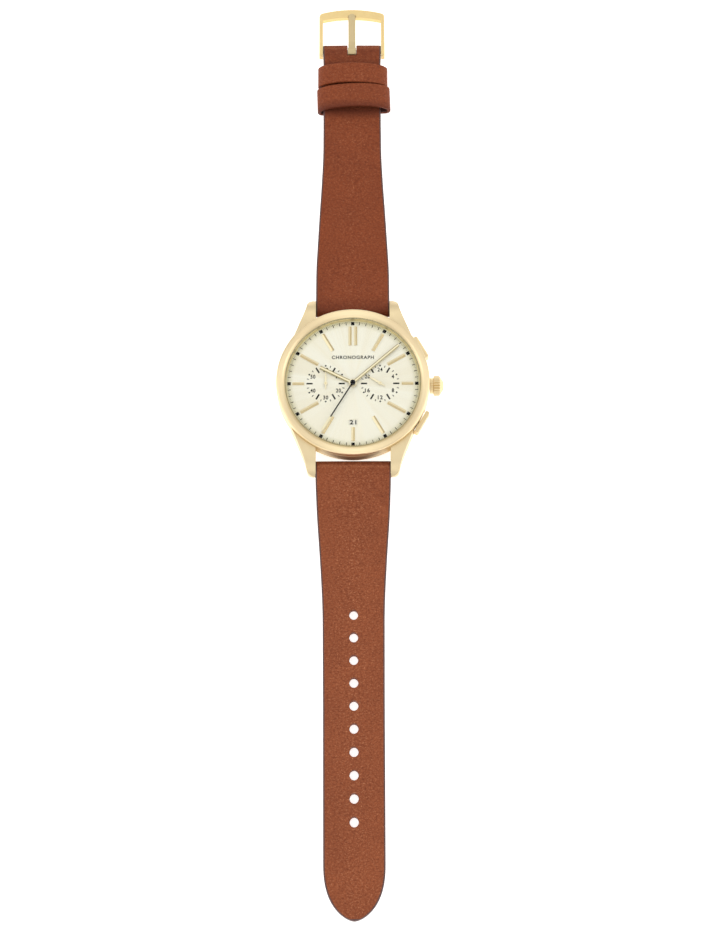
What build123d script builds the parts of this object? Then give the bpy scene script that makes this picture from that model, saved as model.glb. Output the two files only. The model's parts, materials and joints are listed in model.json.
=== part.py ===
"""Chronograph wristwatch, laid open and flat.

Millimetres. The origin is the centre of the case back's outer face. +Y points to 12 o'clock,
+X to 3 o'clock and the crown, +Z out of the dial. Each function makes one piece.
"""

import os
from math import atan2, cos, degrees, hypot, radians, sin, sqrt

from build123d import *

# ---------------------------------------------------------------- driving dimensions
# case
CASE_R = 20.5
LUG_GAP = 20.0
LUG_TIP_Y = 25.0
BACK_R = 17.95
BACK_TOP = 1.0
CAVITY_R = 15.6
WALL_LOW = 3.1
LIP_Z = 6.75
BEZEL_SEAT = 6.95
DIAL_SEAT = 6.2
DIAL_TOP = 6.6
DIAL_R = 18.15
RING_TOP = 8.0
CRYSTAL_R = 18.0
CRYSTAL_LOW = 8.05
CRYSTAL_TOP = 8.95
BEZEL_R = 20.6
BEZEL_OPENING = 18.3
BEZEL_TOP = 8.8
SCREW_CIRCLE_R = 17.0
SEAT_GAP = 0.05

# strap and spring bars
BAR_Y = 22.4
BAR_Z = 2.6
BAR_R = 0.75
BAR_TIP_R = 0.4
STRAP_WIDTH = 19.8
STRAP_NARROW = 16.1
STRAP_THICK = 2.1
LOOP_R = 1.75
LIFT = 1.1
BUCKLE_Y = 100.4
BUCKLE_Z = 2.2
BUCKLE_LOOP_R = 1.6
BUCKLE_TILT = 4.2
BUCKLE_HALF_WIDTH = 9.2
BUCKLE_ARM = 1.0
BUCKLE_SLOT_HALF = 1.4
TONGUE_END = 111.2
TAIL_Y = -142.1
HOLE_R = 1.15
HOLE_PITCH = 6.05
HOLE_COUNT = 10
FIRST_HOLE_Y = -62.6
FIXED_KEEPER_LENGTH = 5.9
FREE_KEEPER_LENGTH = 6.9
KEEPER_THICK = 1.0
KEEPER_WAIST_Z = 2.0
KEEPER_RISE = 4.2
FIXED_KEEPER_WIDTH = 19.5
FREE_KEEPER_WIDTH = 20.4
FIXED_KEEPER_Y = 89.55
FREE_KEEPER_Y = 82.45

# crown and pushers
STEM_Z = 4.4
STEM_R = 0.5
CROWN_R = 2.7
CROWN_INNER_X = 20.7
CROWN_OUTER_X = 24.35
FLUTES = 22
TUBE_R = 1.15
PUSHER_ANGLE = 30.0
PUSHER_FLAT = 19.9
PUSHER_INNER = 20.75
PUSHER_OUTER = 21.85
PUSHER_LENGTH = 6.6
PUSHER_HEIGHT = 2.9
PUSHER_STEM_R = 0.45
PUSHER_TUBE_R = 1.25

# movement
MOVEMENT_R = 15.0
PLATE_LOW = 3.9
PLATE_TOP = 4.9
SUBDIAL_X = 7.3
ARBOR_R = 0.15
RUNNING = 0.04
GEAR_MODULE = 0.1
MINUTE_MODULE = 0.12
MINUTE_TEETH = (12, 36)
HOUR_TEETH = (10, 40)
DAY_TEETH = (16, 49, 32)
CHRONO_TEETH = ((10, 60), (8, 80))
DATE_TEETH = 31
DATE_Y = -10.97
DATE_RING = (12.5, 10.25)
DATE_LOW = 5.9
DATE_TOP = 6.42
BATTERY = (5.6, -7.9)
BATTERY_R = 4.75
MOTORS = ((-0.5, 0.0, 90.0), (0.0, 0.0, 245.0))
COIL_RADIUS_FROM_CENTRE = 11.2
ROTOR_OFFSET = 2.5

# hands, as angles clockwise from 12
MINUTE_ANGLE = 49.0
HOUR_ANGLE = 297.0
CHRONO_ANGLE = 211.7
CHRONO_TIP = 11.4
CHRONO_CAP = 0.14
COUNTER_ANGLE = 0.0
DAY_ANGLE = 302.0
HOUR_HAND_Z = 7.08
MINUTE_HAND_Z = 7.38
CHRONO_HAND_Z = 7.66
SUB_HAND_Z = 6.85
HAND_THICK = 0.14
HAND_EDGE = 0.04
HAND_FLAT_SHARE = 0.5

UP = (Align.CENTER, Align.CENTER, Align.MIN)


# ---------------------------------------------------------------- helpers
def disc(radius, low, high, x=0.0, y=0.0):
    """Upright cylinder from low to high."""
    return Pos(x, y, low) * Cylinder(radius, high - low, align=UP)


def ring(outer, inner, low, high, x=0.0, y=0.0):
    return disc(outer, low, high, x, y) - disc(inner, low - 1, high + 1, x, y)


def block(x, y, z):
    """Box from three (low, high) pairs."""
    size = [pair[1] - pair[0] for pair in (x, y, z)]
    middle = [(pair[0] + pair[1]) / 2 for pair in (x, y, z)]
    return Pos(*middle) * Box(*size)


def turned(points):
    """Solid turned about Z from (radius, z) points."""
    return revolve(Plane.XZ * Polygon(*points, align=None), Axis.Z)


def plate(points, low, high):
    """Flat plate from plan points."""
    return Pos(0, 0, low) * extrude(Polygon(*points, align=None), amount=high - low, dir=(0, 0, 1))


def side_plate(points, width):
    """Prism across X, centred, from (y, z) points."""
    return extrude(Plane.YZ * Polygon(*points, align=None), amount=width / 2, both=True)


def radial(shape, angle=0.0):
    """Turns a piece made along +Z to point outwards at stem height."""
    return Rot(0, 0, angle) * Pos(0, 0, STEM_Z) * Rot(0, 90, 0) * shape


def on_circle(radius, angle):
    return radius * cos(radians(angle)), radius * sin(radians(angle))


def clockwise(shape, angle):
    """Turns a hand that points to 12 by an angle clockwise."""
    return Rot(0, 0, -angle) * shape


def gear(teeth, module, low, high, phase=0.0):
    """Straight-flanked gear about Z, with a tooth at the phase angle in degrees."""
    pitch_r = module * teeth / 2
    tip_r = pitch_r + 0.8 * module
    root_r = pitch_r - 1.2 * module
    pitch = 360 / teeth
    points = []
    for index in range(teeth):
        middle = phase + index * pitch
        points.append(on_circle(root_r, middle - 0.27 * pitch))
        points.append(on_circle(tip_r, middle - 0.12 * pitch))
        points.append(on_circle(tip_r, middle + 0.12 * pitch))
        points.append(on_circle(root_r, middle + 0.27 * pitch))
    return plate(points, low, high)


def mesh_phase(place, teeth, phase, next_place, next_teeth):
    """Phase that puts the next gear's teeth in this gear's gaps."""
    towards = degrees(atan2(next_place[1] - place[1], next_place[0] - place[0]))
    pitch = 360 / teeth
    part = ((towards - phase) / pitch) % 1.0
    return towards + 180 + (part - 0.5) * 360 / next_teeth


def triangle_point(base, near, far):
    """Point at distance near from the origin and far from (base, 0), on the +Y side."""
    along = (base**2 + near**2 - far**2) / (2 * base)
    return along, sqrt(near**2 - along**2)


# ---------------------------------------------------------------- case
def lug():
    """Lug at 1 o'clock: its plan outline cut with its curved side outline."""
    inner = LUG_GAP / 2
    outer_edge = Spline((16.9, 11.4), (15.5, 14.6), (14.0, 18.3), (13.0, 21.0), (12.4, 23.5))
    tip = ThreePointArc((12.4, 23.5), (11.8, 24.5), (10.7, LUG_TIP_Y))
    rest = Polyline((10.7, LUG_TIP_Y), (inner, LUG_TIP_Y - 0.1), (inner, 12), (14, 8), (16.9, 11.4))
    outline = extrude(make_face(outer_edge + tip + rest), amount=BEZEL_SEAT)
    top = Spline((12, 6.65), (19.5, 6.45), (22.8, 5.2), (LUG_TIP_Y, 3.2))
    nose = ThreePointArc((LUG_TIP_Y, 3.2), (LUG_TIP_Y + 0.05, 2.3), (24.4, 1.5))
    under = Polyline((24.4, 1.5), (19.5, 1.1), (12, 1.0), (12, 6.65))
    side = Pos(15, 0, 0) * extrude(Plane.YZ * make_face(top + nose + under), amount=6, both=True)
    return (outline & side) - disc(CASE_R - 2.1, 0, BEZEL_SEAT + 1)


def mid_case():
    """Middle of the case with its four lugs, seats and radial holes."""
    profile = [
        (CAVITY_R, BACK_TOP), (BACK_R + SEAT_GAP, BACK_TOP), (BACK_R + SEAT_GAP, 0.5), (18.9, 0.5),
        (CASE_R, WALL_LOW), (CASE_R, LIP_Z - 0.25), (CASE_R - 0.2, LIP_Z), (20.0, LIP_Z),
        (20.0, BEZEL_SEAT), (DIAL_R + SEAT_GAP, BEZEL_SEAT), (DIAL_R + SEAT_GAP, DIAL_SEAT),
        (CAVITY_R, DIAL_SEAT),
    ]
    body = turned(profile)
    one = lug()
    for shape in (one, mirror(one, Plane.YZ), mirror(one, Plane.XZ), Rot(0, 0, 180) * one):
        body += shape
    for side in (-1, 1):
        hole = Pos(0, side * BAR_Y, BAR_Z) * Rot(0, 90, 0) * Cylinder(BAR_TIP_R + 0.05, 22.8)
        body -= hole
        pocket = block((PUSHER_FLAT, 24), (-PUSHER_LENGTH / 2 - 0.15, PUSHER_LENGTH / 2 + 0.15), (2.7, 8))
        body -= Rot(0, 0, side * PUSHER_ANGLE) * pocket
        body -= radial(disc(PUSHER_TUBE_R, 14, PUSHER_FLAT + 1), side * PUSHER_ANGLE)
    body -= radial(disc(TUBE_R, 14, CASE_R + 1))
    body -= ring(16.4, 15.9, BACK_TOP - 0.1, BACK_TOP + 0.4)
    for angle in (45, 135, 225, 315):
        body -= disc(0.4, 0, 2.6, *on_circle(SCREW_CIRCLE_R, angle))
    return body


def bezel():
    return turned([
        (DIAL_R + SEAT_GAP, BEZEL_SEAT), (BEZEL_R - 0.1, BEZEL_SEAT), (BEZEL_R, BEZEL_SEAT + 0.08),
        (BEZEL_R, BEZEL_TOP - 0.5), (BEZEL_R - 0.12, BEZEL_TOP - 0.24), (BEZEL_R - 0.45, BEZEL_TOP - 0.06),
        (BEZEL_R - 0.9, BEZEL_TOP), (BEZEL_OPENING + 0.7, BEZEL_TOP - 0.15),
        (BEZEL_OPENING + 0.3, BEZEL_TOP - 0.36), (BEZEL_OPENING, BEZEL_TOP - 0.6),
        (BEZEL_OPENING, CRYSTAL_LOW), (DIAL_R + SEAT_GAP, CRYSTAL_LOW),
    ])


def crystal():
    return turned([
        (0, CRYSTAL_LOW), (CRYSTAL_R, CRYSTAL_LOW), (CRYSTAL_R, CRYSTAL_TOP - 0.2),
        (CRYSTAL_R - 0.2, CRYSTAL_TOP), (0, CRYSTAL_TOP),
    ])


def crystal_gasket():
    return ring(BEZEL_OPENING, CRYSTAL_R, CRYSTAL_LOW, BEZEL_TOP - 0.6)


def inner_ring():
    """Polished ring between the dial and the crystal."""
    return turned([(17.85, DIAL_TOP), (DIAL_R, DIAL_TOP), (DIAL_R, RING_TOP), (17.98, RING_TOP)])


def case_back():
    body = disc(BACK_R, 0, BACK_TOP) + disc(CAVITY_R - 0.2, BACK_TOP, BACK_TOP + 0.25)
    body -= ring(13.6, 13.3, -1, 0.12)
    for angle in (45, 135, 225, 315):
        place = on_circle(SCREW_CIRCLE_R, angle)
        body -= disc(0.85, -1, 0.55, *place)
        body -= disc(0.45, -1, 2, *place)
    return body


def case_back_gasket():
    return ring(16.38, 15.92, BACK_TOP, BACK_TOP + 0.38)


def case_back_screws():
    screws = Part()
    for angle in (45, 135, 225, 315):
        x, y = on_circle(SCREW_CIRCLE_R, angle)
        screw = disc(0.8, 0.08, 0.55) + disc(0.4, 0.5, 2.5)
        screw -= block((-1, 1), (-0.12, 0.12), (0, 0.28))
        screws += Pos(x, y, 0) * Rot(0, 0, angle) * screw
    return screws


def crown_tube():
    return radial(ring(TUBE_R, 0.85, 15.9, 21.9))


def pusher_tubes():
    tube = ring(PUSHER_TUBE_R, PUSHER_STEM_R + RUNNING, 16.0, PUSHER_FLAT)
    tube -= disc(0.95, 18.0, PUSHER_FLAT + 1)
    return radial(tube, PUSHER_ANGLE) + radial(tube, -PUSHER_ANGLE)


def spring_bars():
    """Two lug spring bars, tube and pins."""
    bars = Part()
    for side in (-1, 1):
        bar = Cylinder(BAR_R, LUG_GAP - 0.4) + Cylinder(BAR_TIP_R, LUG_GAP + 2.4)
        bars += Pos(0, side * BAR_Y, BAR_Z) * Rot(0, 90, 0) * bar
    return bars


# ---------------------------------------------------------------- crown and pushers
def crown():
    """Crown with a plain collar and a fluted grip."""
    body = turned([
        (0, 22.2), (1.3, 22.2), (1.3, CROWN_INNER_X), (2.1, CROWN_INNER_X), (2.1, 21.6), (CROWN_R, 21.75),
        (CROWN_R, 23.2), (1.9, 23.8), (1.0, CROWN_OUTER_X), (0, CROWN_OUTER_X),
    ])
    groove = Pos(CROWN_R + 0.08, 0, 22.8) * Rot(0, 0, 45) * Box(0.5, 0.5, 2.4)
    collar_groove = Pos(2.16, 0, 21.0) * Rot(0, 0, 45) * Box(0.22, 0.22, 1.2)
    for index in range(FLUTES):
        body -= Rot(0, 0, index * 360 / FLUTES) * (groove + collar_groove)
    body -= disc(0.35, 22, 22.9)
    return radial(body)


def stem():
    """Winding stem with its gasket groove and setting groove."""
    body = turned([
        (0, 9.4), (0.3, 9.4), (0.3, 10.6), (STEM_R, 10.6), (STEM_R, 12.05), (0.28, 12.05), (0.28, 12.85),
        (STEM_R, 12.85), (STEM_R, 17.2), (0.36, 17.2), (0.36, 17.8), (STEM_R, 17.8), (STEM_R, 22.2),
        (0.35, 22.2), (0.35, 22.85), (0, 22.85),
    ])
    return radial(body)


def crown_gasket():
    return radial(ring(0.83, 0.38, 17.22, 17.78))


def pusher(side):
    """Rectangular push-piece with its stem."""
    cap = block((PUSHER_INNER, PUSHER_OUTER), (-PUSHER_LENGTH / 2, PUSHER_LENGTH / 2),
                (STEM_Z - PUSHER_HEIGHT / 2 + 0.25, STEM_Z + PUSHER_HEIGHT / 2 + 0.25))
    outer_face = cap.faces().sort_by(Axis.X)[-1]
    cap = chamfer(outer_face.edges(), 0.3)
    rod = radial(disc(PUSHER_STEM_R, 14.6, PUSHER_INNER + 0.1))
    return Rot(0, 0, side * PUSHER_ANGLE) * (cap + rod)


def pusher_spring(side):
    """Return spring between the tube's step and the push-piece."""
    start = 18.12
    coil_r = 0.72
    wire_r = 0.09
    height = PUSHER_INNER - start - 0.12
    helix = Helix(pitch=height / 5, height=height, radius=coil_r)
    wire = Plane(origin=helix @ 0, z_dir=helix % 0) * Circle(wire_r)
    spring = Pos(0, 0, start) * sweep(wire, path=helix, is_frenet=True)
    return radial(spring, side * PUSHER_ANGLE)


# ---------------------------------------------------------------- dial and hands
def dial():
    """Dial with two feet, a date opening and a recess underneath for the date ring."""
    body = disc(DIAL_R, DIAL_SEAT, DIAL_TOP) - disc(0.75, 0, 9)
    body -= ring(DATE_RING[0] + 0.15, DATE_RING[1] - 0.5, DIAL_SEAT - 1, DATE_TOP + 0.03)
    for side in (-1, 1):
        body -= disc(0.42, 0, 9, side * SUBDIAL_X)
        body += disc(0.35, PLATE_LOW + 0.5, DIAL_SEAT, *on_circle(13.8, 90 + side * 25))
    window = Pos(0, DATE_Y, DATE_TOP) * Rectangle(2.3, 1.4)
    return body - extrude(window, amount=0.3, taper=-40) - extrude(window, amount=-1)


def hour_markers():
    """Applied roof-shaped batons, with a double one at 12."""
    def baton(inner, outer, width, offset=0.0):
        half = width / 2
        roof = [(-half, 0), (half, 0), (half, 0.14), (0.0, 0.34), (-half, 0.14)]
        section = Plane.XZ * Polygon(*roof, align=None)
        return Pos(offset, inner, DIAL_TOP) * extrude(section, amount=outer - inner, dir=(0, 1, 0))

    markers = baton(10.9, 16.2, 0.85, -0.75) + baton(10.9, 16.2, 0.85, 0.75)
    for hour in range(1, 12):
        inner, width = {3: (13.1, 0.8), 6: (12.4, 0.95), 9: (13.1, 0.8)}.get(hour, (10.8, 0.95))
        markers += clockwise(baton(inner, 16.2, width), 30 * hour)
    return markers


def baton_hand(low, hub_r, bore_r, length, width, angle):
    """Baton hand with a flat top, sloping sides and a square end."""
    high = low + HAND_THICK
    edge = low + HAND_EDGE
    half = width / 2
    flat = width * HAND_FLAT_SHARE / 2
    points = [(-half, low), (half, low), (half, edge), (flat, high), (-flat, high), (-half, edge)]
    section = Plane.XZ * Polygon(*points, align=None)
    body = extrude(section, amount=length, dir=(0, 1, 0)) + disc(hub_r, low, high)
    body -= disc(bore_r, low - 1, high + 1)
    return clockwise(body, angle)


def minute_hand():
    return baton_hand(MINUTE_HAND_Z, 0.85, 0.42, 16.3, 0.8, MINUTE_ANGLE)


def hour_hand():
    return baton_hand(HOUR_HAND_Z, 1.1, 0.66, 9.8, 0.9, HOUR_ANGLE)


def chrono_hand():
    """Slim central seconds hand with a wider tip."""
    low = CHRONO_HAND_Z
    high = low + 0.1
    body = block((-0.17, 0.17), (0, CHRONO_TIP), (low, high)) + disc(0.7, low, low + 0.22)
    body += block((-0.28, 0.28), (CHRONO_TIP, 15.7), (low, high))
    body -= disc(ARBOR_R, low - 1, low + CHRONO_CAP)
    return clockwise(body, CHRONO_ANGLE)


def leaf_hand(x, length, tail, angle):
    """Slim leaf-shaped subdial hand."""
    low = SUB_HAND_Z
    high = low + 0.1
    points = [(-0.1, -tail), (0.1, -tail), (0.2, -0.4), (0.28, length * 0.3), (0.06, length), (-0.06, length)]
    points += [(-0.28, length * 0.3), (-0.2, -0.4)]
    body = plate(points, low, high) + disc(0.5, low, high + 0.05) - disc(ARBOR_R, low - 1, high + 1)
    return Pos(x, 0, 0) * clockwise(body, angle)


def counter_hand():
    return leaf_hand(-SUBDIAL_X, 3.6, 1.65, COUNTER_ANGLE)


def day_hand():
    return leaf_hand(SUBDIAL_X, 4.0, 1.6, DAY_ANGLE)


# ---------------------------------------------------------------- trains
CENTRE = (0.0, 0.0)
MINUTE_WHEEL = (0.0, MINUTE_MODULE * sum(MINUTE_TEETH) / 2)
HOUR_MODULE = MINUTE_WHEEL[1] * 2 / sum(HOUR_TEETH)
IDLER = (GEAR_MODULE * (DAY_TEETH[0] + DAY_TEETH[1]) / 2, 0.0)
DAY = (SUBDIAL_X, 0.0)
CHRONO_NEAR, CHRONO_FAR = [GEAR_MODULE * sum(pair) / 2 for pair in CHRONO_TEETH]
CHRONO_ALONG, CHRONO_ACROSS = triangle_point(SUBDIAL_X, CHRONO_NEAR, CHRONO_FAR)
CHRONO_WHEEL = (-CHRONO_ALONG, CHRONO_ACROSS)
COUNTER = (-SUBDIAL_X, 0.0)


def minute_arbor():
    """Cannon pinion with its long pipe."""
    body = disc(0.42, 3.95, MINUTE_HAND_Z + HAND_THICK) + gear(MINUTE_TEETH[0], MINUTE_MODULE, 5.0, 5.25)
    return body - disc(ARBOR_R + RUNNING, 0, 9)


def minute_wheel():
    phase = mesh_phase(CENTRE, MINUTE_TEETH[0], 0, MINUTE_WHEEL, MINUTE_TEETH[1])
    body = gear(MINUTE_TEETH[1], MINUTE_MODULE, 5.02, 5.23, phase)
    body += gear(HOUR_TEETH[0], HOUR_MODULE, 5.23, 5.52) + disc(0.2, 4.1, 5.1)
    return Pos(*MINUTE_WHEEL, 0) * body


def hour_wheel():
    """Hour wheel, its small upper gear and its pipe."""
    phase = mesh_phase(MINUTE_WHEEL, HOUR_TEETH[0], 0, CENTRE, HOUR_TEETH[1])
    body = gear(HOUR_TEETH[1], HOUR_MODULE, 5.3, 5.5, phase) + gear(DAY_TEETH[0], GEAR_MODULE, 5.5, 5.75)
    body += disc(0.66, 5.3, HOUR_HAND_Z + HAND_THICK)
    return body - disc(0.42 + RUNNING, 0, 9)


def idler_wheel():
    phase = mesh_phase(CENTRE, DAY_TEETH[0], 0, IDLER, DAY_TEETH[1])
    return Pos(*IDLER, 0) * (gear(DAY_TEETH[1], GEAR_MODULE, 5.57, 5.73, phase) + disc(0.2, 4.1, 5.9))


def day_wheel():
    idler_phase = mesh_phase(CENTRE, DAY_TEETH[0], 0, IDLER, DAY_TEETH[1])
    phase = mesh_phase(IDLER, DAY_TEETH[1], idler_phase, DAY, DAY_TEETH[2])
    body = gear(DAY_TEETH[2], GEAR_MODULE, 5.57, 5.73, phase)
    body += disc(0.2, 4.1, 5.7) + disc(ARBOR_R, 5.7, SUB_HAND_Z + 0.2)
    return Pos(*DAY, 0) * body


def date_finger():
    """Finger that turns the date ring once a day, carried by the day wheel."""
    points = [(0.5, -0.35), (1.6, -0.2), (2.35, 0.1), (2.3, 0.35), (1.5, 0.3), (0.5, 0.35)]
    body = disc(0.6, 5.85, 6.12) + plate(points, 5.85, 6.12) - disc(ARBOR_R, 5, 7)
    return Pos(*DAY, 0) * Rot(0, 0, 60) * body


def date_ring():
    outer, inner = DATE_RING
    body = ring(outer, inner, DATE_LOW, DATE_TOP)
    points = [(inner + 0.1, -0.45), (inner - 0.35, -0.1), (inner - 0.35, 0.1), (inner + 0.1, 0.45)]
    tooth = plate(points, DATE_LOW, DIAL_SEAT - 0.05)
    for index in range(DATE_TEETH):
        body += Rot(0, 0, index * 360 / DATE_TEETH) * tooth
    return body


def chrono_arbor():
    return disc(ARBOR_R, 2.6, CHRONO_HAND_Z + CHRONO_CAP) + gear(CHRONO_TEETH[0][0], GEAR_MODULE, 3.45, 3.75)


def chrono_wheel():
    phase = mesh_phase(CENTRE, CHRONO_TEETH[0][0], 0, CHRONO_WHEEL, CHRONO_TEETH[0][1])
    body = gear(CHRONO_TEETH[0][1], GEAR_MODULE, 3.5, 3.7, phase)
    body += gear(CHRONO_TEETH[1][0], GEAR_MODULE, 3.05, 3.5) + disc(ARBOR_R, 2.6, 4.2)
    return Pos(*CHRONO_WHEEL, 0) * body


def counter_wheel():
    phase = mesh_phase(CHRONO_WHEEL, CHRONO_TEETH[1][0], 0, COUNTER, CHRONO_TEETH[1][1])
    body = gear(CHRONO_TEETH[1][1], GEAR_MODULE, 3.15, 3.35, phase) + disc(ARBOR_R, 2.6, SUB_HAND_Z + 0.2)
    return Pos(*COUNTER, 0) * (body + disc(0.2, 3.35, 5.9))


# ---------------------------------------------------------------- movement, fixed pieces
LEVER_SEAT = 3.3
LEVER_TOP = 3.8
START_PIVOT = (9.43, 10.06)
RESET_PIVOT = (13.1, -3.55)
SETTING_PIVOT = (12.85, 3.0)
BRIDGE_X = (-13.0, 2.2)
BRIDGE_SCREWS = ((-12.3, 0.0), (1.6, -1.6))
CLAMP_SCREW = (1.27, -4.27)
BOARD_SCREW = (8.4, 3.6)


def motor_place(index):
    """Location of a motor, whose local +Y points outwards from the middle."""
    x, y, angle = MOTORS[index]
    return Pos(x, y, 0) * Rot(0, 0, angle - 90) * Pos(0, COIL_RADIUS_FROM_CENTRE, 0)


def main_plate():
    body = disc(MOVEMENT_R, PLATE_LOW, PLATE_TOP) - disc(0.42 + RUNNING, 0, 9)
    pivots = [(MINUTE_WHEEL, 0.2), (IDLER, 0.2), (DAY, 0.2), (COUNTER, 0.2), (CHRONO_WHEEL, ARBOR_R)]
    pivots += [(START_PIVOT, 0.25), (RESET_PIVOT, 0.25), (SETTING_PIVOT, 0.25)]
    for place, radius in pivots:
        body -= disc(radius + RUNNING, 0, 9, *place)
    for place in (*BRIDGE_SCREWS, CLAMP_SCREW, BOARD_SCREW):
        body -= disc(0.3, 0, PLATE_TOP - 0.4, *place)
    for side in (-1, 1):
        body -= disc(0.38, 0, 9, *on_circle(13.8, 90 + side * 25))
        body -= Rot(0, 0, side * PUSHER_ANGLE) * block((12.9, 16), (-1.5, 1.5), (3, 6))
    body -= block((9.0, 16), (-0.65, 1.2), (3, 6))
    for index in range(len(MOTORS)):
        body -= motor_place(index) * disc(0.12 + RUNNING, 0, 4.5, 0, -ROTOR_OFFSET)
    return body


def calendar_plate():
    """Ring under and around the date ring."""
    body = ring(14.9, 9.9, PLATE_TOP, DATE_LOW - 0.06) + ring(14.9, 12.55, DATE_LOW - 0.06, DIAL_SEAT - 0.05)
    for side in (-1, 1):
        body -= disc(0.38, 0, 9, *on_circle(13.8, 90 + side * 25))
    return body


def movement_holder():
    body = ring(CAVITY_R - 0.05, MOVEMENT_R + 0.05, 1.3, DIAL_SEAT - 0.05)
    for angle in (-PUSHER_ANGLE, 0, PUSHER_ANGLE):
        body -= radial(disc(1.0, 12, 18), angle)
    return body


def train_bridge():
    """Bridge under the chronograph train, with a foot at each end."""
    body = block(BRIDGE_X, (-2.4, 2.4), (2.55, 2.95))
    body += block((BRIDGE_X[0], BRIDGE_X[0] + 1.4), (-1.5, 1.5), (2.95, PLATE_LOW))
    body += block((1.0, BRIDGE_X[1]), (-2.4, -0.9), (2.95, PLATE_LOW))
    for place in (CENTRE, CHRONO_WHEEL, COUNTER):
        body -= disc(ARBOR_R + RUNNING, 0, 9, *place)
    for place in BRIDGE_SCREWS:
        body -= disc(0.3, 0, 9, *place)
    return body


def movement_screws():
    screw = disc(0.55, -0.3, 0) + disc(0.3, 0, 1.5) - block((-1, 1), (-0.07, 0.07), (-0.4, -0.12))
    screws = Part()
    for (x, y), seat in zip((*BRIDGE_SCREWS, CLAMP_SCREW, BOARD_SCREW), (2.55, 2.55, 2.8, 3.0)):
        screws += Pos(x, y, seat) * screw
    return screws


def battery():
    x, y = BATTERY
    return disc(BATTERY_R, 2.2, 3.65, x, y) + disc(BATTERY_R - 0.6, 1.55, 2.2, x, y)


def battery_clamp():
    """Leaf across the battery, screwed down beside it."""
    reach = hypot(BATTERY[0] - CLAMP_SCREW[0], BATTERY[1] - CLAMP_SCREW[1])
    angle = degrees(atan2(BATTERY[1] - CLAMP_SCREW[1], BATTERY[0] - CLAMP_SCREW[0]))
    leaf = block((-0.7, reach + 3.2), (-0.8, 0.8), (1.32, 1.52)) - disc(0.6, 1, 2)
    post = disc(0.7, 1.52, 2.8) - disc(0.6, 1, 2.8) + disc(0.7, 2.8, PLATE_LOW) - disc(0.3, 0, 9)
    return Pos(*CLAMP_SCREW, 0) * Rot(0, 0, angle) * (leaf + post)


def circuit_board():
    """Sector of board with the chip on it."""
    outer = [on_circle(11.9, 8 + 4 * step) for step in range(11)]
    inner = [on_circle(5.6, 48 - 10 * step) for step in range(5)]
    body = plate(outer + inner, 3.0, 3.25) - disc(0.3, 0, 9, *BOARD_SCREW)
    x, y = on_circle(7.2, 30)
    return body + block((x - 1, x + 1), (y - 1, y + 1), (2.4, 3.0))


def quartz_can():
    x, y = on_circle(10.4, 36)
    return Pos(x, y, 2.4) * Rot(0, 0, 126) * Rot(0, 90, 0) * Cylinder(0.6, 4.6)


def motor_coils():
    coil = Rot(0, 90, 0) * Cylinder(0.95, 5.6) - block((-4, 4), (-0.42, 0.42), (-0.22, 0.22))
    placed = [motor_place(index) * Pos(0, 0, 2.7) * coil for index in range(len(MOTORS))]
    return placed[0] + placed[1]


def coil_cores():
    core = block((-3.9, 3.9), (-0.4, 0.4), (2.5, 2.9))
    for side in (-1, 1):
        core += block(sorted((side * 2.95, side * 3.9)), (-0.6, 0.6), (2.5, 3.2))
    placed = [motor_place(index) * core for index in range(len(MOTORS))]
    return placed[0] + placed[1]


def stators():
    stator = block((-3.9, 3.9), (-3.9, -1.1), (3.2, 3.6)) - disc(1.0, 3, 4, 0, -ROTOR_OFFSET)
    for side in (-1, 1):
        stator += block(sorted((side * 2.95, side * 3.9)), (-1.1, 0.6), (3.2, 3.6))
    placed = [motor_place(index) * stator for index in range(len(MOTORS))]
    return placed[0] + placed[1]


def rotor(index):
    """Magnet rotor in the stator's hole."""
    magnet = disc(0.85, 3.15, 3.65, 0, -ROTOR_OFFSET)
    pivot = disc(0.12, 2.8, 4.4, 0, -ROTOR_OFFSET)
    return motor_place(index) * (magnet + pivot)


# ---------------------------------------------------------------- levers
def switch_lever(pivot, side):
    """Lever with an upstanding tab in front of a pusher's stem."""
    tab_x, tab_y = on_circle(14.2, side * PUSHER_ANGLE)
    length = hypot(tab_x - pivot[0], tab_y - pivot[1])
    angle = degrees(atan2(tab_y - pivot[1], tab_x - pivot[0]))
    arm = block((0, length), (-0.4, 0.4), (LEVER_SEAT, LEVER_TOP)) + disc(0.6, LEVER_SEAT, LEVER_TOP)
    arm += disc(0.25, LEVER_TOP, 4.6)
    tab = Rot(0, 0, side * PUSHER_ANGLE) * block((14.0, 14.5), (-0.8, 0.8), (LEVER_SEAT, 4.75))
    return Pos(*pivot, 0) * Rot(0, 0, angle) * arm + tab


def setting_lever():
    """Lever whose pin rides in the stem's groove."""
    pin = (12.45, 0.55)
    length = hypot(pin[0] - SETTING_PIVOT[0], pin[1] - SETTING_PIVOT[1])
    angle = degrees(atan2(pin[1] - SETTING_PIVOT[1], pin[0] - SETTING_PIVOT[0]))
    arm = block((0, length), (-0.35, 0.35), (LEVER_SEAT, LEVER_TOP)) + disc(0.55, LEVER_SEAT, LEVER_TOP)
    arm += disc(0.25, LEVER_TOP, 4.6)
    return Pos(*SETTING_PIVOT, 0) * Rot(0, 0, angle) * arm + disc(0.2, LEVER_SEAT, 4.6, *pin)


# ---------------------------------------------------------------- strap, keepers and buckle
def half_width(y):
    """Half the strap's width at a distance from the middle of the case."""
    share = min(max((abs(y) - 34) / (66 - 34), 0), 1)
    return (STRAP_WIDTH + share * (STRAP_NARROW - STRAP_WIDTH)) / 2


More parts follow.
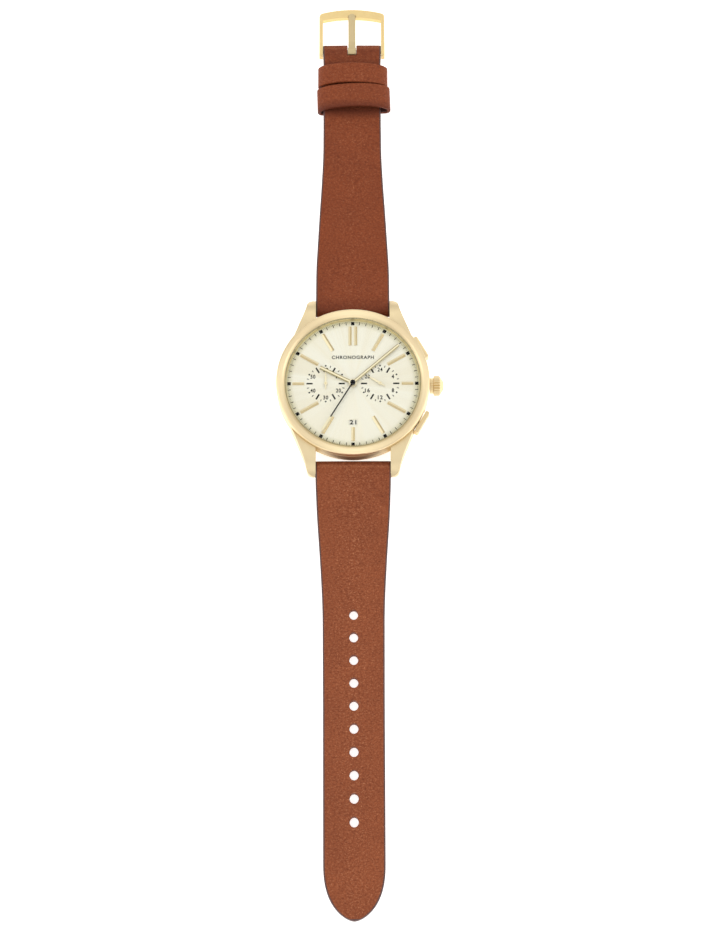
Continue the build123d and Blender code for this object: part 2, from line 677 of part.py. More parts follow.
def strap_upper():
    """Buckle half: looped round its spring bar and round the buckle's bar."""
    top = STRAP_THICK
    side = side_plate([
        (BAR_Y, BAR_Z + LOOP_R), (30, 3.0), (37, top), (59, top), (66, top + LIFT), (BUCKLE_Y, top + LIFT),
        (BUCKLE_Y, LIFT), (66, LIFT), (59, 0), (27, 0), (BAR_Y, BAR_Z - LOOP_R),
    ], 30)
    side += Pos(0, BAR_Y, BAR_Z) * Rot(0, 90, 0) * Cylinder(LOOP_R, 30)
    side += Pos(0, BUCKLE_Y, BUCKLE_Z) * Rot(0, 90, 0) * Cylinder(BUCKLE_LOOP_R, 30)
    edge = [(half_width(y), y) for y in (15, 34, 66, 105)]
    outline = plate(edge + [(-x, y) for x, y in reversed(edge)], -1, 9)
    body = side & outline
    for y, z in ((BAR_Y, BAR_Z), (BUCKLE_Y, BUCKLE_Z)):
        body -= Pos(0, y, z) * Rot(0, 90, 0) * Cylinder(BAR_R + SEAT_GAP, 30)
    slot = block((-BUCKLE_SLOT_HALF, BUCKLE_SLOT_HALF), (BUCKLE_Y - 1.7, BUCKLE_Y + 4.6), (-1, 9))
    return body - slot


def strap_lower():
    """Holes half: looped round its spring bar, with a rounded point."""
    side = side_plate([
        (-BAR_Y, BAR_Z + LOOP_R), (-30, 3.0), (-37, STRAP_THICK), (-145, STRAP_THICK), (-145, 0),
        (-27, 0), (-BAR_Y, BAR_Z - LOOP_R),
    ], 30)
    side += Pos(0, -BAR_Y, BAR_Z) * Rot(0, 90, 0) * Cylinder(LOOP_R, 30)
    wide = STRAP_WIDTH / 2
    narrow = STRAP_NARROW / 2
    left = Polyline((-wide, -15), (-wide, -34), (-narrow, -66), (-narrow, -127))
    point = Spline((-narrow, -127), (-7.4, -132.6), (-4.6, -138.8), (0, TAIL_Y), (4.6, -138.8), (7.4, -132.6),
                   (narrow, -127), tangents=((0, -1), (0, 1)))
    right = Polyline((narrow, -127), (narrow, -66), (wide, -34), (wide, -15), (-wide, -15))
    body = side & Pos(0, 0, -1) * extrude(make_face(left + point + right), amount=10)
    body -= Pos(0, -BAR_Y, BAR_Z) * Rot(0, 90, 0) * Cylinder(BAR_R + SEAT_GAP, 30)
    for index in range(HOLE_COUNT):
        body -= disc(HOLE_R, -1, 5, 0, FIRST_HOLE_Y - index * HOLE_PITCH)
    return body


def keeper(width, start, length):
    """Arched loop of leather round the strap."""
    def outline(half, low, waist, rise):
        arch = EllipticalCenterArc((0, waist), half, rise, start_angle=0, arc_size=180)
        base = Polyline((-half, waist), (-half, low + 0.7), (-half + 0.7, low), (half - 0.7, low),
                        (half, low + 0.7), (half, waist))
        return Plane.XZ * make_face(arch + base)

    half = width / 2
    outer = outline(half, SEAT_GAP, KEEPER_WAIST_Z, KEEPER_RISE)
    inner = outline(half - KEEPER_THICK, KEEPER_THICK, KEEPER_WAIST_Z, KEEPER_RISE - KEEPER_THICK)
    return Pos(0, start + length, 0) * extrude(outer - inner, amount=length)


def tilted(shape):
    """Lets a buckle piece drop about the bar until its front lies on the table."""
    return Pos(0, BUCKLE_Y, BUCKLE_Z) * Rot(-BUCKLE_TILT, 0, 0) * Pos(0, -BUCKLE_Y, -BUCKLE_Z) * shape


def buckle_frame():
    """Frame with a bowed front bar and two arms that hold the bar."""
    outer_x = BUCKLE_HALF_WIDTH
    inner_x = outer_x - BUCKLE_ARM
    front = ThreePointArc((outer_x, 112.5), (0, 113.9), (-outer_x, 112.5))
    sides = Polyline((-outer_x, 112.5), (-outer_x, 99.0), (outer_x, 99.0), (outer_x, 112.5))
    body = Pos(0, 0, 1.0) * extrude(make_face(front + sides), amount=2.3)
    window = ThreePointArc((inner_x, 110.2), (0, 111.2), (-inner_x, 110.2))
    rest = Polyline((-inner_x, 110.2), (-inner_x, 90), (inner_x, 90), (inner_x, 110.2))
    corners = body.edges().filter_by(Axis.Z).group_by(Axis.Y)[-1]
    body = fillet(corners, 1.2)
    body = chamfer(body.faces().sort_by(Axis.Z)[-1].edges(), 0.25)
    body -= side_plate([(102, 0), (106, 1.9), (120, 1.9), (120, 0)], 30)
    body -= extrude(make_face(window + rest), amount=9)
    body -= block((-1.2, 1.2), (108, TONGUE_END), (2.85, 9)) + disc(1.2, 2.85, 9, 0, TONGUE_END)
    body -= Pos(0, BUCKLE_Y, BUCKLE_Z) * Rot(0, 90, 0) * Cylinder(BAR_TIP_R, 30)
    return tilted(body)


def buckle_bar():
    bar = Cylinder(BAR_R, 16.2) + Cylinder(BAR_TIP_R, 18.2)
    return Pos(0, BUCKLE_Y, BUCKLE_Z) * Rot(0, 90, 0) * bar


def buckle_tongue():
    """Tongue curled round the bar, resting in the front bar's notch."""
    shaft = side_plate([
        (BUCKLE_Y, 3.45), (103, 3.75), (TONGUE_END, 3.7), (TONGUE_END, 2.9), (103, 2.95), (BUCKLE_Y, 2.6),
    ], 2.0)
    eye = Pos(0, BUCKLE_Y, BUCKLE_Z) * Rot(0, 90, 0) * Cylinder(1.35, 2.3)
    tip = disc(1.0, 2.9, 3.7, 0, TONGUE_END)
    bore = Pos(0, BUCKLE_Y, BUCKLE_Z) * Rot(0, 90, 0) * Cylinder(BAR_R + RUNNING, 5)
    return tilted(shaft + eye + tip - bore)


# ---------------------------------------------------------------- export
NODES = {
    "mid_case": mid_case,
    "bezel": bezel,
    "crystal": crystal,
    "crystal_gasket": crystal_gasket,
    "inner_ring": inner_ring,
    "case_back": case_back,
    "case_back_gasket": case_back_gasket,
    "case_back_screws": case_back_screws,
    "crown_tube": crown_tube,
    "pusher_tubes": pusher_tubes,
    "spring_bars": spring_bars,
    "crown": crown,
    "stem": stem,
    "crown_gasket": crown_gasket,
    "pusher_start": lambda: pusher(1),
    "pusher_reset": lambda: pusher(-1),
    "start_spring": lambda: pusher_spring(1),
    "reset_spring": lambda: pusher_spring(-1),
    "dial": dial,
    "hour_markers": hour_markers,
    "minute_hand": minute_hand,
    "hour_hand": hour_hand,
    "chrono_hand": chrono_hand,
    "counter_hand": counter_hand,
    "day_hand": day_hand,
    "minute_arbor": minute_arbor,
    "minute_wheel": minute_wheel,
    "hour_wheel": hour_wheel,
    "idler_wheel": idler_wheel,
    "day_wheel": day_wheel,
    "date_finger": date_finger,
    "date_ring": date_ring,
    "chrono_arbor": chrono_arbor,
    "chrono_wheel": chrono_wheel,
    "counter_wheel": counter_wheel,
    "main_plate": main_plate,
    "calendar_plate": calendar_plate,
    "movement_holder": movement_holder,
    "train_bridge": train_bridge,
    "movement_screws": movement_screws,
    "battery": battery,
    "battery_clamp": battery_clamp,
    "circuit_board": circuit_board,
    "quartz_can": quartz_can,
    "motor_coils": motor_coils,
    "coil_cores": coil_cores,
    "stators": stators,
    "rotor_time": lambda: rotor(0),
    "rotor_chrono": lambda: rotor(1),
    "start_lever": lambda: switch_lever(START_PIVOT, 1),
    "reset_lever": lambda: switch_lever(RESET_PIVOT, -1),
    "setting_lever": setting_lever,
    "strap_upper": strap_upper,
    "strap_lower": strap_lower,
    "keeper_fixed": lambda: keeper(FIXED_KEEPER_WIDTH, FIXED_KEEPER_Y, FIXED_KEEPER_LENGTH),
    "keeper_free": lambda: keeper(FREE_KEEPER_WIDTH, FREE_KEEPER_Y, FREE_KEEPER_LENGTH),
    "buckle_frame": buckle_frame,
    "buckle_bar": buckle_bar,
    "buckle_tongue": buckle_tongue,
}

os.makedirs("parts", exist_ok=True)
for node, make in NODES.items():
    export_step(make(), f"parts/{node}.step")
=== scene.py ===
"""Looks for the chronograph wristwatch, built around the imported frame. Metres, +Z out of the dial."""

import json
import math

import bmesh
import bpy
from mathutils import Matrix, Vector, noise


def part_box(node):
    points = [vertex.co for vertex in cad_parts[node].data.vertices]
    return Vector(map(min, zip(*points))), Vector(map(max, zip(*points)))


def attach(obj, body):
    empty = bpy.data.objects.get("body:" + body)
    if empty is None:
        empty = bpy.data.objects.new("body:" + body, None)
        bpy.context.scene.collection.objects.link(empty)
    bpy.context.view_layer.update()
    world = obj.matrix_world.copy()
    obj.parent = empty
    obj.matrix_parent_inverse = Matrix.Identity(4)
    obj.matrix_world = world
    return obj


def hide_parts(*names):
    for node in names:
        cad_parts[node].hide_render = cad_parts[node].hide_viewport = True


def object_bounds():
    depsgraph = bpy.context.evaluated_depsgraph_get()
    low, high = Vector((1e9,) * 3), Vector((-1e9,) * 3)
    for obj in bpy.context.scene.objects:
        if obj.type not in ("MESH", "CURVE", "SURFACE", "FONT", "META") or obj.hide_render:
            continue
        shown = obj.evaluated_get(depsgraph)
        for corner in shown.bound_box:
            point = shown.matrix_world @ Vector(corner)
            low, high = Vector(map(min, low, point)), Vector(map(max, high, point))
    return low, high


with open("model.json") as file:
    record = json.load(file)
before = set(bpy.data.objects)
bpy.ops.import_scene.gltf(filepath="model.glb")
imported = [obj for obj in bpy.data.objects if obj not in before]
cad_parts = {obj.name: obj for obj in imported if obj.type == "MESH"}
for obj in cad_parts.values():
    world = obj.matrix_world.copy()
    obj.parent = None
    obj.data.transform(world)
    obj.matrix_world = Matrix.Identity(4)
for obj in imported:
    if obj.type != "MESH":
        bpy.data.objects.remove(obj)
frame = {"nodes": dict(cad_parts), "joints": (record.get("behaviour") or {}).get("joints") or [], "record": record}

CAD_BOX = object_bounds()
NODES = frame["nodes"]
MM = 0.001

# ---------------------------------------------------------------- sizes taken from the frame
DIAL_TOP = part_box("hour_markers")[0].z
DATE_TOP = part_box("date_ring")[1].z
STRAP_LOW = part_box("strap_lower")
JOINTS = {joint["name"]: joint for joint in frame["joints"]}
SUBDIAL_X = JOINTS["day_turn"]["pos_m"][0]
BAR_Y = JOINTS["strap_upper_hinge"]["pos_m"][1]
BAR_Z = JOINTS["strap_upper_hinge"]["pos_m"][2]
BUCKLE_Y = JOINTS["buckle_hinge"]["pos_m"][1]
BUCKLE_Z = JOINTS["buckle_hinge"]["pos_m"][2]


# ---------------------------------------------------------------- material helpers
class Finish:
    """A node material with one Principled shader, and short calls for the nodes that feed it."""

    def __init__(self, name, **constants):
        self.material = bpy.data.materials.new(name)
        self.material.use_nodes = True
        self.tree = self.material.node_tree
        self.shader = self.tree.nodes["Principled BSDF"]
        for socket, value in constants.items():
            self.shader.inputs[socket.replace("_", " ")].default_value = value
        self.place = self.node("ShaderNodeTexCoord").outputs["Object"]

    def node(self, kind, inputs=None, **settings):
        made = self.tree.nodes.new(kind)
        for key, value in settings.items():
            setattr(made, key, value)
        for key, value in (inputs or {}).items():
            if isinstance(value, bpy.types.NodeSocket):
                self.tree.links.new(value, made.inputs[key])
            else:
                made.inputs[key].default_value = value
        return made

    def math(self, operation, first, second=0.0):
        return self.node("ShaderNodeMath", {0: first, 1: second}, operation=operation).outputs[0]

    def stretched(self, x=1.0, y=1.0, z=1.0, place=None):
        made = self.node("ShaderNodeMapping", {"Vector": place or self.place, "Scale": (x, y, z)})
        return made.outputs[0]

    def noise(self, scale, detail=3.0, rough=0.55, place=None):
        inputs = {"Vector": place or self.place, "Scale": scale, "Detail": detail, "Roughness": rough}
        return self.node("ShaderNodeTexNoise", inputs).outputs["Fac"]

    def cells(self, scale, feature="F1", place=None, smooth=None):
        inputs = {"Vector": place or self.place, "Scale": scale}
        if smooth is not None:
            inputs["Smoothness"] = smooth
        return self.node("ShaderNodeTexVoronoi", inputs, feature=feature).outputs["Distance"]

    def polar(self):
        """Radius and angle about an upright line through the dial's centre."""
        across, along, _ = self.node("ShaderNodeSeparateXYZ", {0: self.place}).outputs
        square = self.math("ADD", self.math("MULTIPLY", across, across), self.math("MULTIPLY", along, along))
        return self.math("SQRT", square), self.math("ARCTAN2", along, across)

    def join(self, x, y, z=0.0):
        return self.node("ShaderNodeCombineXYZ", {0: x, 1: y, 2: z}).outputs[0]

    def remap(self, value, low, high, new_low=0.0, new_high=1.0):
        inputs = {"Value": value, 1: low, 2: high, 3: new_low, 4: new_high}
        return self.node("ShaderNodeMapRange", inputs).outputs[0]

    def blend(self, share, first, second):
        """Mixes two colours, each a socket or an RGB value."""
        made = self.node("ShaderNodeMix", data_type="RGBA")
        for index, value in ((0, share), (6, first), (7, second)):
            if isinstance(value, bpy.types.NodeSocket):
                self.tree.links.new(value, made.inputs[index])
            else:
                made.inputs[index].default_value = value if index == 0 else (*value, 1.0)
        return made.outputs[2]

    def feed(self, socket, value):
        self.tree.links.new(value, self.shader.inputs[socket])

    def bump(self, height, strength, distance):
        inputs = {"Height": height, "Strength": strength, "Distance": distance}
        self.feed("Normal", self.node("ShaderNodeBump", inputs).outputs[0])


GOLD = (0.90, 0.73, 0.44)
GOLD_DEEP = (0.83, 0.65, 0.36)


def metal(name, color, deep, rough, grain, bump_share=0.15):
    """Metal with brushing along a stretched place, given by grain(finish)."""
    finish = Finish(name, Metallic=1.0)
    brushed = finish.noise(1.0, 4.0, 0.6, grain(finish))
    patches = finish.noise(140.0, 2.0)
    tint = finish.remap(patches, 0.3, 0.7, 0.0, 0.35)
    finish.feed("Base Color", finish.blend(tint, color, deep))
    finish.feed("Roughness", finish.remap(brushed, 0.25, 0.75, rough * 0.8, rough * 1.25))
    finish.bump(brushed, bump_share, 0.00002)
    return finish.material


def ring_grain(across, around):
    """Brushing that runs round the dial's centre."""
    def grain(finish):
        radius, angle = finish.polar()
        height = finish.node("ShaderNodeSeparateXYZ", {0: finish.place}).outputs[2]
        outward = finish.math("MULTIPLY", radius, across)
        along_ring = finish.math("MULTIPLY", angle, around)
        upward = finish.math("MULTIPLY", height, across)
        return finish.join(outward, along_ring, upward)
    return grain


def line_grain(x, y, z):
    return lambda finish: finish.stretched(x, y, z)


def bezel_gold():
    """Ring brushed round its centre, with a painted highlight that makes it a little paler at 12, 3, 6 and 9."""
    finish = Finish("gold_bezel", Metallic=1.0)
    _, angle = finish.polar()
    brushed = finish.noise(1.0, 4.0, 0.6, ring_grain(2600.0, 5.0)(finish))
    # Painted highlight: paler gold at 12, 3, 6 and 9, deeper gold between.
    painted_highlight_sweep = finish.math("COSINE", finish.math("MULTIPLY", angle, 4.0))
    tone = finish.blend(finish.remap(painted_highlight_sweep, -0.7, 0.9), (0.82, 0.66, 0.405), (0.965, 0.80, 0.50))
    finish.feed("Base Color", finish.blend(finish.remap(brushed, 0.3, 0.7, 0.0, 0.15), tone, GOLD_DEEP))
    finish.feed("Roughness", finish.remap(brushed, 0.25, 0.75, 0.3, 0.44))
    finish.bump(brushed, 0.05, 0.00002)
    return finish.material


def crystal_glass():
    finish = Finish("crystal_glass")
    clear = finish.node("ShaderNodeBsdfTransparent", {"Color": (0.99, 0.995, 0.99, 1.0)})
    gloss = finish.node("ShaderNodeBsdfGlossy", {"Color": (1.0, 1.0, 1.0, 1.0), "Roughness": 0.03})
    edge = finish.node("ShaderNodeFresnel", {"IOR": 1.45})
    smear = finish.remap(finish.noise(90.0, 2.0), 0.2, 0.8, 0.2, 0.3)
    share = finish.math("MULTIPLY", edge.outputs[0], smear)
    mixed = finish.node("ShaderNodeMixShader", {0: share, 1: clear.outputs[0], 2: gloss.outputs[0]})
    finish.tree.nodes.remove(finish.shader)
    out = finish.tree.nodes["Material Output"]
    finish.tree.links.new(mixed.outputs[0], out.inputs["Surface"])
    return finish.material


def dial_lacquer():
    """Cream dial with soft rays from the centre, a painted sheen that is lighter at 12 and 6 than at 3 and 9, and
    a darker band at the rim that is painted shade and reflection.
    """
    finish = Finish("dial_lacquer", Metallic=0.2, Specular_IOR_Level=0.3)
    radius, angle = finish.polar()
    around = finish.join(finish.math("COSINE", angle), finish.math("SINE", angle))
    fine = finish.noise(38.0, 4.0, 0.65, around)
    broad = finish.noise(2.6, 2.0, 0.5, around)
    # Painted sheen: lighter at 12 and 6, darker at 3 and 9.
    upright = finish.math("COSINE", finish.math("MULTIPLY", angle, 2.0))
    side = finish.remap(upright, -0.9, 1.0, 0.0, 1.0)
    cream = finish.blend(side, (0.995, 0.945, 0.80), (0.925, 0.865, 0.71))
    broken = finish.blend(finish.remap(broad, 0.40, 0.60, 0.0, 0.8), cream, (0.998, 0.968, 0.855))
    rayed = finish.blend(finish.remap(fine, 0.35, 0.65, 0.0, 0.30), broken, (0.88, 0.81, 0.62))
    # Painted shade and reflection: the band from 16 mm out to the rim darkens towards olive.
    rim = finish.remap(radius, 16.0 * MM, 17.9 * MM, 0.0, 0.85)
    finish.feed("Base Color", finish.blend(rim, rayed, (0.60, 0.565, 0.36)))
    finish.feed("Roughness", finish.remap(fine, 0.3, 0.7, 0.35, 0.5))
    finish.bump(fine, 0.05, 0.00002)
    return finish.material


def hand_gold():
    """Polished hand, with painted shade that makes its sloping sides darker than its flat top."""
    finish = Finish("hand_gold", Metallic=0.9)
    normal = finish.node("ShaderNodeTexCoord").outputs["Normal"]
    level = finish.node("ShaderNodeSeparateXYZ", {0: normal}).outputs[2]
    # Painted shade on the sloping sides, picked out by their normals.
    side = finish.remap(level, 0.985, 0.93)
    grain = finish.noise(1.0, 3.0, 0.5, finish.stretched(2500.0, 2500.0, 300.0))
    top = finish.blend(finish.remap(grain, 0.3, 0.7, 0.0, 0.3), (0.97, 0.87, 0.62), GOLD)
    finish.feed("Base Color", finish.blend(side, top, (0.43, 0.35, 0.16)))
    finish.feed("Roughness", finish.remap(grain, 0.3, 0.7, 0.28, 0.4))
    finish.bump(grain, 0.05, 0.00001)
    return finish.material


def marker_gold():
    """Roof-shaped hour marker, with painted light and shade: the facet turned anticlockwise is painted pale, the
    other a darker, brownish gold.
    """
    finish = Finish("marker_gold", Metallic=0.85)
    normal = finish.node("ShaderNodeTexCoord").outputs["Normal"]
    across, along, _ = finish.node("ShaderNodeSeparateXYZ", {0: normal}).outputs
    lean = finish.math("ADD", finish.math("MULTIPLY", across, 0.75), finish.math("MULTIPLY", along, -0.65))
    grain = finish.noise(1.0, 3.0, 0.5, finish.stretched(2600.0, 2600.0, 400.0))
    # Painted light and shade on the two facets, chosen by their normals.
    shaded_facet_share = finish.remap(lean, -0.05, 0.05)
    lit_and_shaded_facets = finish.blend(shaded_facet_share, (0.92, 0.80, 0.54), (0.66, 0.52, 0.29))
    finish.feed("Base Color", finish.blend(finish.remap(grain, 0.3, 0.7, 0.0, 0.15), lit_and_shaded_facets, GOLD_DEEP))
    finish.feed("Roughness", finish.remap(grain, 0.3, 0.7, 0.3, 0.42))
    finish.bump(grain, 0.05, 0.00001)
    return finish.material


def chrono_paint():
    """Black hand with a bare gold tip."""
    finish = Finish("chrono_paint", Specular_IOR_Level=0.08)
    radius, _ = finish.polar()
    tip = finish.math("GREATER_THAN", radius, 11.4 * MM)
    specks = finish.noise(3000.0, 2.0)
    worn = finish.remap(specks, 0.3, 0.7, 0.0, 0.5)
    black = finish.blend(worn, (0.004, 0.004, 0.004), (0.012, 0.011, 0.01))
    finish.feed("Base Color", finish.blend(tip, black, (0.93, 0.84, 0.60)))
    finish.feed("Metallic", tip)
    finish.feed("Roughness", finish.remap(specks, 0.3, 0.7, 0.4, 0.55))
    finish.bump(specks, 0.04, 0.00001)
    return finish.material


def printed_ink(name, color):
    finish = Finish(name, Specular_IOR_Level=0.05)
    grain = finish.noise(6000.0, 2.0)
    darker = tuple(part * 0.6 for part in color)
    finish.feed("Base Color", finish.blend(finish.remap(grain, 0.3, 0.7), color, darker))
    finish.feed("Roughness", finish.remap(grain, 0.3, 0.7, 0.6, 0.75))
    finish.bump(grain, 0.05, 0.000005)
    return finish.material


def moulded(name, color, rough=0.5):
    """Moulded plastic or rubber with a fine matt skin."""
    finish = Finish(name)
    skin = finish.noise(2200.0, 3.0)
    patches = finish.noise(180.0, 2.0)
    darker = tuple(part * 0.8 for part in color)
    finish.feed("Base Color", finish.blend(finish.remap(patches, 0.3, 0.7), color, darker))
    finish.feed("Roughness", finish.remap(skin, 0.3, 0.7, rough * 0.85, rough * 1.15))
    finish.bump(skin, 0.12, 0.00003)
    return finish.material


def board_lacquer():
    finish = Finish("board_lacquer", Coat_Weight=0.6, Coat_Roughness=0.12)
    tracks = finish.cells(900.0, "DISTANCE_TO_EDGE")
    mask = finish.remap(tracks, 0.06, 0.10)
    finish.feed("Base Color", finish.blend(mask, (0.04, 0.20, 0.09), (0.015, 0.10, 0.045)))
    finish.feed("Roughness", finish.remap(finish.noise(1500.0), 0.3, 0.7, 0.3, 0.45))
    finish.bump(mask, 0.2, 0.00002)
    return finish.material


def coil_wire():
    """Fine enamelled wire, wound round each coil."""
    finish = Finish("coil_wire", Metallic=0.9, Coat_Weight=0.5, Coat_Roughness=0.2)
    turns = finish.node("ShaderNodeTexWave", {"Vector": finish.stretched(1.0, 1.0, 0.2), "Scale": 5200.0})
    wound = turns.outputs["Fac"]
    finish.feed("Base Color", finish.blend(wound, (0.36, 0.13, 0.06), (0.78, 0.38, 0.19)))
    finish.feed("Roughness", finish.remap(wound, 0.0, 1.0, 0.4, 0.25))
    finish.bump(wound, 0.4, 0.00004)
    return finish.material


# bands across the straps, as (place along Y, reach either side, depth of tone), in millimetres
# The first table is painted shade: under the bezel on the buckle half, under and along the keepers, and in the
# fold at the buckle; its two bands at the holes half's end by the case are painted shade and partly that end's
# dark cut edge. The second table is lighter wear.
SHADE_BANDS = ((21.5, 4.5, 0.6), (-20.7, 1.0, 0.8), (-21.6, 1.0, 0.35), (81.9, 2.6, 0.85), (96.6, 1.3, 0.45),
         (100.2, 2.6, 0.35), (102.4, 0.8, 0.7))
SCUFFS = ((-22.5, 0.6, 0.55), (101.2, 0.8, 0.4))
# The holes half's tone is lighter as painted sheen.
LEATHER_LOW_SHEEN = (0.315, 0.084, 0.031)
LEATHER_HIGH = (0.266, 0.060, 0.019)
LEATHER_LIGHT = (0.53, 0.21, 0.10)
LEATHER_DARK = (0.105, 0.022, 0.010)
SHEEN_AND_RUB_HALF = 8.5 * MM
CASE_SPAN = 20 * MM
GRAIN_WANDER = 1.6 * MM
BAND_WANDER = 1.2 * MM


def leather():
    """Waxed calf leather: fine pebbled grain with small creases, painted shade in its hollows and creases, light
    specks that are partly rub wear and partly painted sheen, a painted sheen that makes the holes half lighter,
    and bands of painted shade across the straps.
    """
    finish = Finish("leather_grain", Specular_IOR_Level=0.16)
    drift = finish.join(finish.math("MULTIPLY", finish.noise(260.0, 3.0), GRAIN_WANDER),
                        finish.math("MULTIPLY", finish.noise(300.0, 2.0), GRAIN_WANDER))
    wander = finish.node("ShaderNodeVectorMath", {0: finish.place, 1: drift}, operation="ADD").outputs[0]
    pebbles = finish.cells(2300.0, "SMOOTH_F1", wander, 0.35)
    creases = finish.cells(1250.0, "DISTANCE_TO_EDGE", wander)
    wrinkles = finish.noise(1.0, 4.0, 0.62, finish.stretched(1500.0, 2400.0, 1500.0, wander))
    specks = finish.noise(3400.0, 2.0, 0.6)
    cloud = finish.noise(95.0, 3.0, 0.6)
    side, along, _ = finish.node("ShaderNodeSeparateXYZ", {0: finish.place}).outputs
    # Painted sheen: the holes half lighter than the buckle half.
    base = finish.blend(finish.remap(along, -CASE_SPAN, CASE_SPAN), LEATHER_LOW_SHEEN, LEATHER_HIGH)
    base = finish.blend(finish.remap(cloud, 0.3, 0.7, 0.0, 0.22), base, LEATHER_DARK)
    # Painted shade in the grain's hollows.
    hollow_shade = finish.blend(finish.remap(wrinkles, 0.50, 0.28, 0.0, 0.55), base, LEATHER_DARK)
    # Light specks on the raised grain, partly rub wear and partly painted sheen; stronger in the middle of the
    # strap and on the holes half.
    rubbed_and_sheen = finish.math("MULTIPLY", finish.remap(wrinkles, 0.47, 0.62), finish.remap(specks, 0.48, 0.62))
    middle = finish.remap(finish.math("ABSOLUTE", side), SHEEN_AND_RUB_HALF, 0.0, 0.45, 0.95)
    rubbed_and_sheen = finish.math("MULTIPLY", rubbed_and_sheen, middle)
    rubbed_and_sheen = finish.math("MULTIPLY", rubbed_and_sheen, finish.remap(along, -CASE_SPAN, CASE_SPAN, 1.0, 0.55))
    scuffed = strap_bands(finish, SCUFFS, along, cloud)
    scuffed = finish.math("MULTIPLY", scuffed, finish.remap(specks, 0.40, 0.55))
    lit = finish.blend(finish.math("MAXIMUM", rubbed_and_sheen, scuffed), hollow_shade, LEATHER_LIGHT)
    groove = finish.remap(creases, 0.0, 0.09)
    # Painted shade along the grain's creases.
    crease_shade = finish.blend(finish.remap(groove, 0.0, 1.0, 0.35, 0.0), lit, LEATHER_DARK)
    # Painted shade in bands across the straps.
    finish.feed("Base Color", finish.blend(strap_bands(finish, SHADE_BANDS, along, cloud), crease_shade, LEATHER_DARK))
    finish.feed("Roughness", finish.remap(wrinkles, 0.3, 0.7, 0.68, 0.52))
    height = finish.math("ADD", finish.math("MULTIPLY", groove, 0.5),
                         finish.math("MULTIPLY", finish.remap(pebbles, 0.62, 0.12), 0.3))
    height = finish.math("ADD", height, finish.math("MULTIPLY", wrinkles, 0.9))
    height = finish.math("ADD", height, finish.math("MULTIPLY", specks, 0.25))
    finish.bump(height, 0.6, 0.00010)
    return finish.material


def strap_bands(finish, bands, along, cloud):
    """Share of a tone in slightly wavy bands across the straps."""
    sway = finish.math("MULTIPLY", finish.math("SUBTRACT", cloud, 0.5), BAND_WANDER)
    wavy = finish.math("ADD", along, sway)
    share = 0.0
    for place, reach, depth in bands:
        near = finish.math("ABSOLUTE", finish.math("SUBTRACT", wavy, place * MM))
        share = finish.math("MAXIMUM", share, finish.remap(near, reach * MM, 0.0, 0.0, depth))
    return share


def edge_paint():
    """Dark paint along the straps' cut edges; inside the keepers the same dark paint stands for painted shade."""
    finish = Finish("edge_paint", Coat_Weight=0.15, Coat_Roughness=0.3)
    streaks = finish.noise(1.0, 3.0, 0.5, finish.stretched(900.0, 300.0, 2600.0))
    paint = finish.blend(finish.remap(streaks, 0.3, 0.7), (0.060, 0.020, 0.017), (0.11, 0.040, 0.032))
    finish.feed("Base Color", paint)
    finish.feed("Roughness", finish.remap(streaks, 0.3, 0.7, 0.4, 0.6))
    finish.bump(streaks, 0.2, 0.00006)
    return finish.material


def lining():
    """Short-napped lining leather on the wrist side."""
    finish = Finish("lining_nap", Sheen_Weight=0.35, Sheen_Roughness=0.6)
    nap = finish.noise(3200.0, 4.0, 0.7)
    cloud = finish.noise(160.0, 3.0)
    tone = finish.blend(finish.remap(cloud, 0.3, 0.7), (0.40, 0.235, 0.125), (0.48, 0.30, 0.175))
    shaded = finish.blend(finish.remap(nap, 0.35, 0.65, 0.35, 0.0), tone, (0.24, 0.13, 0.065))
    finish.feed("Base Color", shaded)
    finish.feed("Roughness", finish.remap(nap, 0.3, 0.7, 0.78, 0.95))
    finish.bump(nap, 0.6, 0.00008)
    return finish.material


LEATHER_SET = (leather(), edge_paint(), lining())
LEATHER_FACE, EDGE_AND_SHADE_FACE, LINING_FACE = 0, 1, 2

